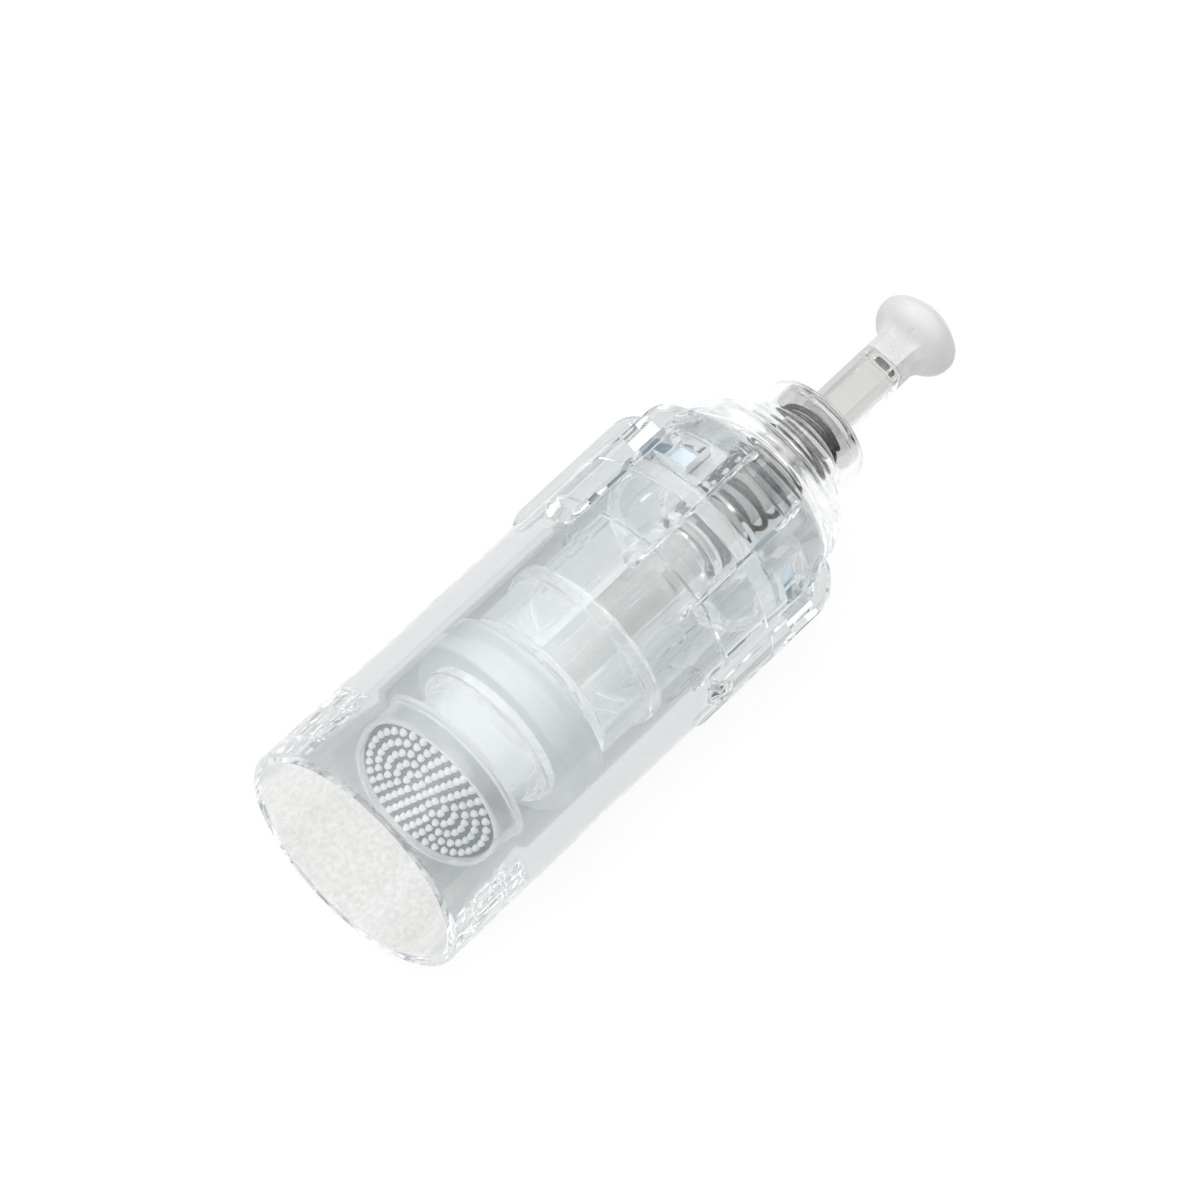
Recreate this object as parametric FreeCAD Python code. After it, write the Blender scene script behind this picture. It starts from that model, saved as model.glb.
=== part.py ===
import FreeCAD, Part
import math
import os

# Spring-returned nano-needle cartridge for a skin-treatment pen, lying on its side.
# Millimetres. The axis of the cartridge is X: the open mouth is at x = 0 and the drive head at +X.
# Angles around the axis start at +Z and turn towards -Y.

# driving dimensions
BODY_R = 7.0              # plain outside of the nozzle shell
SLEEVE_END_X = 18.7       # end of the straight outside that a cap slides on
BODY_REAR_R = 6.95        # outside between the bayonet ribs
LUG_R = 7.45              # outside of the bayonet ribs and lugs
MOUTH_R = 6.35            # inside of the mouth rim
BORE_R = 5.57             # sliding bore behind the funnel
BORE_REAR_R = 5.47        # the same bore at its rear end, after mould draft
THROAT_R = 5.31           # narrower throat in front of the guide plate
REAR_BORE_R = 5.46        # counterbore that takes the guide plate and rear housing
FUNNEL_X = 5.8            # where the mouth funnel ends
STEP_X = 21.3             # where the bore steps down to the throat
SEAT_X = 24.6             # ledge that the guide plate rests on
LUG_X = 19.3              # front of the bayonet ribs
SHOULDER_X = 27.75        # start of the rear shoulder
SHELL_END_X = 30.05       # rear edge of the shell
RIM_ROUND = 0.2

TURN = 23.9               # angle of the first pair of bayonet ribs
SECTORS = 3
RIB_OFFSET = 17.7         # each rib of a pair, from the middle of its pair
RIB_ARC = 6.0
LUG_ARC = 17.0
WINDOW_OFFSET = 41.0      # each snap window, from the middle of the pair of ribs
WINDOW_ARC = 19.0
WINDOW_X = (25.75, 27.65)
SNAP_GAP = 0.1            # clearance of a snap in its window

PLATE_THICK = 1.0
PLATE_GAP = 0.04
HUB_R = 2.1
HUB_X = 26.3
HOUSING_R = 5.38
NECK_R = 3.24
NECK_X = 34.05
NECK_END_X = 36.0
SLEEVE_BORE_R = 2.73
SLEEVE_X = 27.2
SKIRT_WALL = 0.75

SPRING_OUT_R = 2.04
SPRING_WIRE_R = 0.16
SPRING_TURNS = 8.5
SPRING_X = (26.34, 35.43)

ROD_R = 1.4
ROD_HOLE_R = 1.46
STEM_SIDE = 2.5
STEM_CHAMFER = 0.45
STEM_TURN = 5.5           # angle of the stem's flats
COLLAR_R = 2.65
COLLAR_X = (35.45, 36.1)
STEM_END_X = 41.1
SPIGOT_R = 0.7
SPIGOT_LENGTH = 1.6
HEAD_R = 2.5
HEAD_WIDEST_X = 43.95
HEAD_EDGE_R = 0.9         # round edge of the head
HEAD_EDGE_TURN = 43.0     # where that edge meets the domed end
HEAD_NECK_X = 42.3

TIP_R = 4.87
TIP_X = 5.7               # front of the thin rim round the chip
TIP_BACK_X = 7.1
CHIP_R = 4.45
CHIP_X = 5.95
CHIP_THICK = 0.7
BARREL_R = 3.61
BARREL_BORE_R = 3.06
SOCKET_R = 4.25
SOCKET_X = (9.6, 11.9)
FLOOR_X = 12.7
SKIRT_R = 4.7
SKIRT_BORE_R = 3.95
GUIDE_RING_R = 5.06
GUIDE_RING_X = (16.5, 17.4)
CARRIER_END_X = 24.54
FIN_R = 4.5
FIN_THICK = 0.8
FINS = 4
FIN_TURN = 14.0
WIPER_R = 5.48
WIPER_X = (10.1, 12.65)
FIT = 0.02                # gap left in a pressed or glued joint

TIP_ROWS = 6              # rings of needle points round the middle one
TIP_PITCH = 0.66
TIP_BASE_R = 0.2
TIP_POINT_R = 0.06
TIP_HEIGHT = 0.28


def point(x, r):
    return FreeCAD.Vector(x, r, 0)


def section(start, *moves):
    """A flat face in the X-radius plane: (x, r) draws a line, ((x, r), (x, r)) an arc through the first point."""
    edges = []
    here = start
    for move in moves + (start,):
        if isinstance(move[0], tuple):
            middle, end = move
            edges.append(Part.Arc(point(*here), point(*middle), point(*end)).toShape())
            here = end
        elif move != here:
            edges.append(Part.LineSegment(point(*here), point(*move)).toShape())
            here = move
    return Part.Face(Part.Wire(edges))


def turned(face, angle=360.0, middle=0.0):
    """Turns a section about the X axis. A part turn is centred on the given angle from +Z."""
    solid = face.revolve(FreeCAD.Vector(0, 0, 0), FreeCAD.Vector(1, 0, 0), angle)
    if angle < 360.0:
        solid.rotate(FreeCAD.Vector(0, 0, 0), FreeCAD.Vector(1, 0, 0), 90.0 + middle - angle / 2.0)
    return solid


def rod(r, x0, x1):
    return Part.makeCylinder(r, x1 - x0, FreeCAD.Vector(x0, 0, 0), FreeCAD.Vector(1, 0, 0))


def around(offsets):
    """The angles of features that repeat in every sector of the bayonet."""
    return [TURN + 360.0 / SECTORS * k + o for k in range(SECTORS) for o in offsets]


def arc_middle(cx, cr, radius, degrees):
    a = math.radians(degrees)
    return (cx + radius * math.cos(a), cr + radius * math.sin(a))


def shoulder_lug(angle, width):
    """One bayonet rib or lug: ramp in front, flat top, and a round fall over the shoulder."""
    fall = 1.7
    face = section(
        (LUG_X, BODY_R - 0.5),
        (LUG_X, BODY_R),
        (LUG_X + 1.2, LUG_R),
        (SHOULDER_X, LUG_R),
        (arc_middle(SHOULDER_X, LUG_R - fall, fall, 45.0), (SHOULDER_X + fall, LUG_R - fall)),
        (SHELL_END_X - 0.25, REAR_BORE_R + 0.1),
        (SHOULDER_X, BODY_R - 0.9),
        (SHOULDER_X - 0.5, BODY_R - 0.5),
    )
    return turned(face, width, angle)


def nozzle_shell():
    funnel_mid = (FUNNEL_X * 0.45, BORE_R + 0.3)
    corner = 0.6
    face = section(
        (0, MOUTH_R + RIM_ROUND),
        (0, BODY_R - RIM_ROUND),
        (arc_middle(RIM_ROUND, BODY_R - RIM_ROUND, RIM_ROUND, 135.0), (RIM_ROUND, BODY_R)),
        (SLEEVE_END_X, BODY_R),
        (LUG_X, BODY_REAR_R),
        (SHOULDER_X, BODY_REAR_R),
        (arc_middle(SHOULDER_X, BODY_REAR_R - corner, corner, 65.0),
         arc_middle(SHOULDER_X, BODY_REAR_R - corner, corner, 40.0)),
        (SHELL_END_X - 0.45, REAR_BORE_R + 0.36),
        (arc_middle(SHELL_END_X - 0.3, REAR_BORE_R + 0.16, 0.3, 20.0), (SHELL_END_X, REAR_BORE_R + 0.1)),
        (SHELL_END_X, REAR_BORE_R),
        (SEAT_X, REAR_BORE_R),
        (SEAT_X, THROAT_R),
        (STEP_X + 0.2, THROAT_R),
        (STEP_X, BORE_REAR_R),
        (FUNNEL_X, BORE_R),
        (funnel_mid, (RIM_ROUND, MOUTH_R)),
        (arc_middle(RIM_ROUND, MOUTH_R + RIM_ROUND, RIM_ROUND, 225.0), (0, MOUTH_R + RIM_ROUND)),
    )
    shell = turned(face)
    ribs = [shoulder_lug(a, RIB_ARC) for a in around((-RIB_OFFSET, RIB_OFFSET))]
    lugs = [shoulder_lug(a, LUG_ARC) for a in around((60.0,))]
    shell = shell.multiFuse(ribs + lugs).removeSplitter()
    x0, x1 = WINDOW_X
    opening = section((x0, THROAT_R - 0.1), (x0, LUG_R + 0.5), (x1, LUG_R + 0.5), (x1, THROAT_R - 0.1))
    windows = [turned(opening, WINDOW_ARC, a) for a in around((-WINDOW_OFFSET, WINDOW_OFFSET))]
    return shell.cut(Part.Compound(windows))


def guide_plate():
    """Disc on the shell's ledge: its hub centres the spring, and the rod slides in its hole."""
    r = REAR_BORE_R - PLATE_GAP
    back = SEAT_X + PLATE_THICK
    face = section(
        (SEAT_X, ROD_HOLE_R + 0.15),
        (SEAT_X, r),
        (back, r),
        (back, HUB_R + 0.2),
        (arc_middle(back + 0.2, HUB_R + 0.2, 0.2, 225.0), (back + 0.2, HUB_R)),
        (HUB_X, HUB_R),
        (HUB_X, ROD_HOLE_R),
        (SEAT_X + 0.15, ROD_HOLE_R),
    )
    return turned(face)


def rear_housing():
    """Skirt in the shell, dome, neck and the long sleeve that the spring and collar work in."""
    front = SEAT_X + PLATE_THICK + 0.02
    dome = 2.25
    dome_x = 30.75
    sleeve_r = NECK_R
    inner = HOUSING_R - SKIRT_WALL
    dome_end = arc_middle(dome_x, HOUSING_R - dome, dome, 22.0)
    face = section(
        (front, inner),
        (front, HOUSING_R - 0.15),
        (front + 0.15, HOUSING_R),
        (dome_x, HOUSING_R),
        (arc_middle(dome_x, HOUSING_R - dome, dome, 55.0), dome_end),
        (NECK_X - 0.35, NECK_R + 0.55),
        (arc_middle(NECK_X + 0.15, NECK_R + 0.5, 0.5, 215.0), (NECK_X + 0.15, NECK_R)),
        (NECK_END_X - 0.25, NECK_R),
        (arc_middle(NECK_END_X - 0.25, NECK_R - 0.25, 0.25, 45.0), (NECK_END_X, NECK_R - 0.25)),
        (NECK_END_X, SLEEVE_BORE_R + 0.08),
        (NECK_END_X - 0.08, SLEEVE_BORE_R),
        (SLEEVE_X, SLEEVE_BORE_R),
        (SLEEVE_X, sleeve_r),
        (dome_x + 0.6, sleeve_r),
        (arc_middle(dome_x + 0.6, sleeve_r + 0.5, 0.5, 315.0), (dome_x + 1.1, sleeve_r + 0.5)),
        (dome_x, inner),
    )
    housing = turned(face)
    x0 = WINDOW_X[0] + SNAP_GAP
    x1 = WINDOW_X[1] - SNAP_GAP
    rise = BODY_R - 0.75
    hook = section((x0, HOUSING_R - 0.3), (x0, rise), (x1 - 0.5, rise), (x1, rise - 0.5), (x1, HOUSING_R - 0.3))
    width = WINDOW_ARC - 2.0
    snaps = [turned(hook, width, a) for a in around((-WINDOW_OFFSET, WINDOW_OFFSET))]
    return housing.multiFuse(snaps).removeSplitter()


def return_spring():
    mean_r = SPRING_OUT_R - SPRING_WIRE_R
    length = SPRING_X[1] - SPRING_X[0] - 2.0 * SPRING_WIRE_R
    pitch = length / SPRING_TURNS
    helix = Part.makeHelix(pitch, length, mean_r)
    slope = math.degrees(math.atan2(pitch, 2.0 * math.pi * mean_r))
    circle = Part.Circle(FreeCAD.Vector(mean_r, 0, 0), FreeCAD.Vector(0, 1, 0), SPRING_WIRE_R).toShape()
    circle.rotate(FreeCAD.Vector(mean_r, 0, 0), FreeCAD.Vector(1, 0, 0), slope)
    spring = Part.Wire(helix.Edges).makePipeShell([Part.Wire([circle])], True, True)
    spring.rotate(FreeCAD.Vector(0, 0, 0), FreeCAD.Vector(0, 1, 0), 90.0)
    spring.translate(FreeCAD.Vector(SPRING_X[0] + SPRING_WIRE_R, 0, 0))
    return spring


def stem(x0, x1):
    """Square bar with chamfered corners, its flats turned to the stem's angle."""
    h = STEM_SIDE / 2.0
    c = h - STEM_CHAMFER
    corners = [(h, -c), (h, c), (c, h), (-c, h), (-h, c), (-h, -c), (-c, -h), (c, -h), (h, -c)]
    wire = Part.makePolygon([FreeCAD.Vector(x0, y, z) for y, z in corners])
    bar = Part.Face(wire).extrude(FreeCAD.Vector(x1 - x0, 0, 0))
    bar.rotate(FreeCAD.Vector(0, 0, 0), FreeCAD.Vector(1, 0, 0), STEM_TURN)
    return bar


def push_rod():
    """Round shank in the guide, the collar that carries the spring, and the square stem behind it."""
    front = FLOOR_X + 0.6
    face = section(
        (front, 0),
        (front, ROD_R - 0.2),
        (front + 0.2, ROD_R),
        (COLLAR_X[0], ROD_R),
        (COLLAR_X[0], COLLAR_R),
        (COLLAR_X[1] - 0.25, COLLAR_R),
        (arc_middle(COLLAR_X[1] - 0.25, COLLAR_R - 0.25, 0.25, 45.0), (COLLAR_X[1], COLLAR_R - 0.25)),
        (COLLAR_X[1], 0),
    )
    spigot = rod(SPIGOT_R, STEM_END_X - 0.5, STEM_END_X + SPIGOT_LENGTH)
    return turned(face).multiFuse([stem(COLLAR_X[1] - 0.1, STEM_END_X), spigot]).removeSplitter()


def drive_head():
    """Milky mushroom that the pen's drive pin pushes on, pressed on the stem's spigot."""
    flare_x = HEAD_WIDEST_X - 0.85
    edge_r = HEAD_R - HEAD_EDGE_R
    edge = arc_middle(HEAD_WIDEST_X, edge_r, HEAD_EDGE_R, HEAD_EDGE_TURN)
    turn = math.radians(HEAD_EDGE_TURN)
    dome_r = edge[1] / math.sin(turn)
    dome_x = edge[0] - dome_r * math.cos(turn)
    face = section(
        (HEAD_NECK_X, 0),
        (HEAD_NECK_X, 1.3),
        ((HEAD_NECK_X + 0.45, 1.62), (flare_x, 2.12)),
        ((HEAD_WIDEST_X - 0.4, 2.42), (HEAD_WIDEST_X, HEAD_R)),
        (arc_middle(HEAD_WIDEST_X, edge_r, HEAD_EDGE_R, (90.0 + HEAD_EDGE_TURN) / 2.0), edge),
        (arc_middle(dome_x, 0, dome_r, HEAD_EDGE_TURN / 2.0), (dome_x + dome_r, 0)),
    )
    head = turned(face).fuse(stem(STEM_END_X + FIT, HEAD_NECK_X + 0.2)).removeSplitter()
    return head.cut(rod(SPIGOT_R + FIT, STEM_END_X - 0.5, STEM_END_X + SPIGOT_LENGTH + 0.1))


def carrier():
    """Front socket for the tip holder, barrel with its guide ring, and a finned hub for the rod."""
    rod_end = FLOOR_X + 0.5
    skirt_end = GUIDE_RING_X[1]
    face = section(
        (SOCKET_X[0], BARREL_R + FIT),
        (SOCKET_X[0], SOCKET_R),
        (FLOOR_X + 0.1, SOCKET_R),
        (FLOOR_X + 0.1, SKIRT_R - 0.2),
        (FLOOR_X + 0.3, SKIRT_R),
        (GUIDE_RING_X[0], SKIRT_R),
        (GUIDE_RING_X[0], GUIDE_RING_R - 0.15),
        (GUIDE_RING_X[0] + 0.15, GUIDE_RING_R),
        (skirt_end - 0.15, GUIDE_RING_R),
        (skirt_end, GUIDE_RING_R - 0.15),
        (skirt_end, SKIRT_BORE_R),
        (FLOOR_X + 1.0, SKIRT_BORE_R),
        (FLOOR_X + 1.0, HUB_R),
        (CARRIER_END_X - 0.2, HUB_R),
        (CARRIER_END_X, HUB_R - 0.2),
        (CARRIER_END_X, ROD_R + FIT),
        (rod_end, ROD_R + FIT),
        (rod_end, 0),
        (SOCKET_X[1], 0),
        (SOCKET_X[1], BARREL_R + FIT),
    )
    body = turned(face)
    fin_x0 = FLOOR_X + 0.9
    blade = section(
        (fin_x0, HUB_R - 0.25),
        (fin_x0, SKIRT_BORE_R + 0.1),
        (skirt_end - 0.1, SKIRT_BORE_R + 0.1),
        (skirt_end - 0.1, FIN_R),
        (CARRIER_END_X - 1.5, FIN_R),
        (arc_middle(CARRIER_END_X - 1.5, FIN_R - 0.8, 0.8, 45.0), (CARRIER_END_X - 0.7, FIN_R - 0.8)),
        (CARRIER_END_X - 0.7, HUB_R - 0.25),
    )
    fins = []
    for k in range(FINS):
        fin = blade.extrude(FreeCAD.Vector(0, 0, FIN_THICK))
        fin.translate(FreeCAD.Vector(0, 0, -FIN_THICK / 2.0))
        fin.rotate(FreeCAD.Vector(0, 0, 0), FreeCAD.Vector(1, 0, 0), FIN_TURN + 360.0 / FINS * k)
        fins.append(fin)
    return body.multiFuse(fins).removeSplitter()


def wiper_seal():
    """Soft sleeve on the socket, with two lips that wipe the bore."""
    x0, x1 = WIPER_X
    inside = SOCKET_R + FIT
    web = SOCKET_R + 0.45
    face = section(
        (x0, inside),
        (x0, WIPER_R - 0.25),
        ((x0 + 0.12, WIPER_R - 0.07), (x0 + 0.4, WIPER_R)),
        (x0 + 0.85, WIPER_R),
        (x0 + 1.15, web),
        (x1 - 0.75, web),
        (x1 - 0.45, WIPER_R - 0.1),
        ((x1 - 0.15, WIPER_R - 0.16), (x1, WIPER_R - 0.4)),
        (x1, inside),
    )
    return turned(face)


def tip_holder():
    """Round flange round the chip, on a hollow barrel that plugs into the carrier."""
    pocket_r = CHIP_R + FIT
    pocket_x = CHIP_X + CHIP_THICK + FIT
    face = section(
        (pocket_x, 0),
        (pocket_x, pocket_r),
        (TIP_X + 0.08, pocket_r),
        (TIP_X, pocket_r + 0.08),
        (TIP_X, TIP_R - 0.15),
        (arc_middle(TIP_X + 0.15, TIP_R - 0.15, 0.15, 135.0), (TIP_X + 0.15, TIP_R)),
        (TIP_BACK_X - 0.1, TIP_R),
        (TIP_BACK_X, TIP_R - 0.1),
        (TIP_BACK_X, BARREL_R + 0.2),
        (arc_middle(TIP_BACK_X + 0.2, BARREL_R + 0.2, 0.2, 225.0), (TIP_BACK_X + 0.2, BARREL_R)),
        (SOCKET_X[1] - FIT, BARREL_R),
        (SOCKET_X[1] - FIT, BARREL_BORE_R),
        (TIP_BACK_X + 0.5, BARREL_BORE_R),
        (TIP_BACK_X + 0.2, BARREL_BORE_R - 0.3),
        (TIP_BACK_X + 0.2, 0),
    )
    return turned(face)


def needle_chip():
    """Disc with rings of blunt micro points, in the flange's pocket."""
    disc = rod(CHIP_R, CHIP_X, CHIP_X + CHIP_THICK)
    points = []
    for row in range(TIP_ROWS + 1):
        count = max(1, round(2.0 * math.pi * row))
        for k in range(count):
            a = 2.0 * math.pi * k / count
            r = row * TIP_PITCH
            base = FreeCAD.Vector(CHIP_X + 0.02, -r * math.sin(a), r * math.cos(a))
            out = FreeCAD.Vector(-1, 0, 0)
            points.append(Part.makeCone(TIP_BASE_R, TIP_POINT_R, TIP_HEIGHT + 0.02, base, out))
    return disc.multiFuse(points)


PIECES = {
    "nozzle_shell": nozzle_shell,
    "guide_plate": guide_plate,
    "rear_housing": rear_housing,
    "return_spring": return_spring,
    "push_rod": push_rod,
    "drive_head": drive_head,
    "carrier": carrier,
    "wiper_seal": wiper_seal,
    "tip_holder": tip_holder,
    "needle_chip": needle_chip,
}

os.makedirs("parts", exist_ok=True)
for name, make in PIECES.items():
    shape = make()
    box = shape.BoundBox
    print(name, "solids", len(shape.Solids), "valid", shape.isValid(), "volume %.2f" % shape.Volume,
          "x %.2f..%.2f y %.2f..%.2f z %.2f..%.2f" % (box.XMin, box.XMax, box.YMin, box.YMax, box.ZMin, box.ZMax))
    shape.exportStep("parts/%s.step" % name)
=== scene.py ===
import math

import bmesh
import bpy
import numpy as np
from mathutils import Matrix, Vector


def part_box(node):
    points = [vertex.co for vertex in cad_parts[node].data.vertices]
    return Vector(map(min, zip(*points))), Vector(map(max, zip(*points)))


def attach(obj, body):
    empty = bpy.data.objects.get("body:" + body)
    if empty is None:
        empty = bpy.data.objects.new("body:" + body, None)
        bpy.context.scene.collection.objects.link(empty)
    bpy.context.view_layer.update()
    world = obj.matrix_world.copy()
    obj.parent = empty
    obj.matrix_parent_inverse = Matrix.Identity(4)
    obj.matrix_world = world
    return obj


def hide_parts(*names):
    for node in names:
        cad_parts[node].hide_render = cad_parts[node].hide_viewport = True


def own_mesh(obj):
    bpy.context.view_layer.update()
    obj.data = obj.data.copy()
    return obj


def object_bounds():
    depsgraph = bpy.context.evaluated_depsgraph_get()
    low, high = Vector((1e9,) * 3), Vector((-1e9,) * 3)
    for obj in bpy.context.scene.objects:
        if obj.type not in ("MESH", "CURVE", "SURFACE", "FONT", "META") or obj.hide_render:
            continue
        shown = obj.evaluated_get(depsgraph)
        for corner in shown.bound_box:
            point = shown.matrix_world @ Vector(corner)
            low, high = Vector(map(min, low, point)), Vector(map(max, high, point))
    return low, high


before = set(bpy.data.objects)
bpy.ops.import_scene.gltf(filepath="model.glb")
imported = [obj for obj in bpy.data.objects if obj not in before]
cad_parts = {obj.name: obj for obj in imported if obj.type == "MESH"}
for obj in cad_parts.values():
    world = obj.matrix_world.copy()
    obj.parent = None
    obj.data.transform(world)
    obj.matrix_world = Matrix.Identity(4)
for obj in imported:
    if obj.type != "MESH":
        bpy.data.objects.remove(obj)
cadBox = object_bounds()
print("frame loaded:", len(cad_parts), "nodes")

scene = bpy.context.scene
mm = 0.001
creaseAngle = math.radians(35.0)


def nodeSpan(node):
    # front x, rear x and half height of a CAD node, in millimetres
    low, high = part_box(node)
    return low.x / mm, high.x / mm, high.z / mm


# outlines and turned pieces


def arc(cx, cr, radius, start, end, steps=8):
    # points of an arc in the outline plane, angles from +x towards larger radius
    turns = np.radians(np.linspace(start, end, steps + 1))
    return [(cx + radius * math.cos(a), cr + radius * math.sin(a), 5.0) for a in turns]


def outline(corners, soft=0.05):
    # rounds every corner (x, r[, rounding]) and gives x, r and the outward normal of each point
    pts = [np.array(c[:2], float) for c in corners]
    count = len(pts)
    area = sum(a[0] * b[1] - b[0] * a[1] for a, b in zip(pts, pts[1:] + pts[:1]))
    side = 1.0 if area > 0 else -1.0
    result = []
    for i, c in enumerate(corners):
        here, before, after = pts[i], pts[i - 1], pts[(i + 1) % count]
        inward, outward = here - before, after - here
        lenIn, lenOut = np.linalg.norm(inward), np.linalg.norm(outward)
        inward, outward = inward / lenIn, outward / lenOut
        normalIn = side * np.array([inward[1], -inward[0]])
        normalOut = side * np.array([outward[1], -outward[0]])
        if here[1] < 1e-6:  # a pole on the axis
            pole = normalOut if before[1] < 1e-6 else normalIn
            result.append((here[0], 0.0, math.copysign(1.0, pole[0]), 0.0))
            continue
        turn = math.acos(max(-1.0, min(1.0, float(inward @ outward))))
        if turn < 1e-3:
            result.append((*here, *normalIn))
            continue
        radius = c[2] if len(c) > 2 else soft
        reach = min(radius * math.tan(turn / 2), 0.48 * lenIn, 0.48 * lenOut)
        radius = reach / math.tan(turn / 2)
        convex = (inward[0] * outward[1] - inward[1] * outward[0]) * side > 0
        sign = 1.0 if convex else -1.0
        centre = here - inward * reach - sign * normalIn * radius
        steps = max(2, math.ceil(math.degrees(turn) / 12.0))
        for k in range(steps + 1):
            t = k / steps
            normal = (math.sin((1 - t) * turn) * normalIn + math.sin(t * turn) * normalOut) / math.sin(turn)
            result.append((*(centre + sign * normal * radius), *normal))
    return result


def addRows(rows, places):
    # splits the straight runs of an outline at the given x places
    result = []
    for a, b in zip(rows, rows[1:] + rows[:1]):
        result.append(a)
        low, high = sorted((a[0], b[0]))
        cuts = sorted((x for x in places if low + 1e-4 < x < high - 1e-4), reverse=bool(a[0] > b[0]))
        for x in cuts:
            t = (x - a[0]) / (b[0] - a[0])
            result.append(tuple(p + t * (q - p) for p, q in zip(a, b)))
    return result


def evenTurns(count, extra=()):
    # column angles round the axis, in degrees, with the extra ones added
    angles = set(round(360.0 * k / count, 4) for k in range(count))
    extra = set(round(a % 360.0, 4) for a in extra)
    kept = [a for a in angles if all(abs((a - e + 180.0) % 360.0 - 180.0) > 0.3 for e in extra)]
    return sorted(set(kept) | extra)


def spun(rows, angles, relief=None, windows=()):
    # a grid round the X axis: rows of the outline by columns of angles.
    # relief(x, r, angle, outward) gives a point's new radius.
    # windows are (x0, x1, a0, a1) holes through the wall
    closed = rows[0][1] > 1e-6
    count, columns = len(rows), len(angles)
    points = np.zeros((count, columns, 3))
    normals = np.zeros((count, columns, 3))
    plain = np.ones((count, columns), bool)
    for i, (x, r, nx, nr) in enumerate(rows):
        for j, angle in enumerate(angles):
            a = math.radians(angle)
            radius = r
            if relief and r > 1e-6:
                radius = relief(x, r, angle, nr)
                plain[i, j] = abs(radius - r) < 1e-5
            points[i, j] = (x, -radius * math.sin(a), radius * math.cos(a))
            normals[i, j] = (nx, -nr * math.sin(a), nr * math.cos(a))
    bm = bmesh.new()
    grid = []
    for i in range(count):
        if rows[i][1] < 1e-6:
            pole = bm.verts.new(Vector(points[i, 0]) * mm)
            grid.append([pole] * columns)
        else:
            grid.append([bm.verts.new(Vector(p) * mm) for p in points[i]])

    def holed(i, j):
        x = (rows[i][0] + rows[(i + 1) % count][0]) / 2
        a = (angles[j] + (angles[(j + 1) % columns] - angles[j]) % 360.0 / 2) % 360.0
        for x0, x1, a0, a1 in windows:
            if x0 < x < x1 and (a - a0) % 360.0 < (a1 - a0) % 360.0:
                return True
        return False

    last = count if closed else count - 1
    holes = {(i, j) for i in range(last) for j in range(columns) if windows and holed(i, j)}
    for i in range(last):
        k = (i + 1) % count
        for j in range(columns):
            if (i, j) in holes:
                continue
            n = (j + 1) % columns
            corner = [grid[i][j], grid[k][j], grid[k][n], grid[i][n]]
            face = list(dict.fromkeys(corner))
            if len(face) > 2:
                bm.faces.new(face)
    walls = windowWalls(bm, grid, rows, columns, holes) if holes else []
    bmesh.ops.recalc_face_normals(bm, faces=bm.faces)
    bm.verts.index_update()
    exact = {}
    for i in range(count):
        for j in range(columns):
            if plain[i, j]:
                exact[grid[i][j].index] = normals[i, j] if rows[i][1] > 1e-6 else (rows[i][2], 0.0, 0.0)
    return bm, exact, {f.index for f in walls}


def windowWalls(bm, grid, rows, columns, holes):
    # the four walls of each window, from the outer skin to the inner one
    count = len(rows)
    outer = {(i, j) for i, j in holes if rows[i][3] > 0}
    inner = holes - outer
    innerRows = {i for i, j in inner} | {i + 1 for i, j in inner}
    rowOf = {}  # the inner row that faces each outer one
    for i in {i for i, j in outer} | {i + 1 for i, j in outer}:
        rowOf[i] = min(innerRows, key=lambda other: abs(rows[other % count][0] - rows[i % count][0]))
    walls = []

    def addWall(i, j, k, n):
        spots = ((i, j), (k, n), (rowOf[k], n), (rowOf[i], j))
        walls.append(bm.faces.new([grid[a % count][b % columns] for a, b in spots]))

    for i, j in sorted(outer):
        if (i, (j - 1) % columns) not in outer:
            addWall(i, j, i + 1, j)
        if (i, (j + 1) % columns) not in outer:
            addWall(i, j + 1, i + 1, j + 1)
        if (i - 1, j) not in outer:
            addWall(i, j, i, j + 1)
        if (i + 1, j) not in outer:
            addWall(i + 1, j, i + 1, j + 1)
    bm.faces.index_update()
    return walls


def finished(name, bm, body, replaced, materials, exact=None, flat=()):
    # turns a bmesh into a piece with smooth shading, its materials, its body and the node it stands for.
    # exact holds the true normals of the turned surface, and flat the faces that don't use them
    mesh = bpy.data.meshes.new(name)
    bm.to_mesh(mesh)
    bm.free()
    for material in materials:
        mesh.materials.append(material)
    mesh.shade_smooth()
    if exact is not None:
        mesh.set_sharp_from_angle(angle=creaseAngle)
        loopNormals = np.zeros(len(mesh.loops) * 3, np.float32)
        mesh.corner_normals.foreach_get("vector", loopNormals)
        loopNormals = loopNormals.reshape(-1, 3)
        for polygon in mesh.polygons:
            if polygon.index in flat:
                continue
            for loop in polygon.loop_indices:
                normal = exact.get(mesh.loops[loop].vertex_index)
                if normal is not None:
                    loopNormals[loop] = normal
        mesh.normals_split_custom_set(loopNormals.tolist())
    piece = bpy.data.objects.new(name, mesh)
    scene.collection.objects.link(piece)
    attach(piece, body)
    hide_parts(replaced)
    return piece


def smoothStep(low, high, value):
    # 0 below low, 1 above high, with an even bend between
    t = min(1.0, max(0.0, (value - low) / (high - low)))
    return t * t * (3 - 2 * t)


def offAngle(a, b):
    # signed difference of two angles in degrees
    return (a - b + 180.0) % 360.0 - 180.0


# materials

noiseEnds = {"roughness": (0.3, 0.7), "tint": (0.35, 0.65)}  # the part of a noise pattern that a finish uses


def newMaterial(name):
    material = bpy.data.materials.new(name)
    material.use_nodes = True
    return material, material.node_tree, material.node_tree.nodes["Principled BSDF"]


def addNode(tree, kind, **settings):
    node = tree.nodes.new(kind)
    for key, value in settings.items():
        if hasattr(node, key):
            setattr(node, key, value)
        else:
            node.inputs[key.replace("_", " ")].default_value = value
    return node


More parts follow.
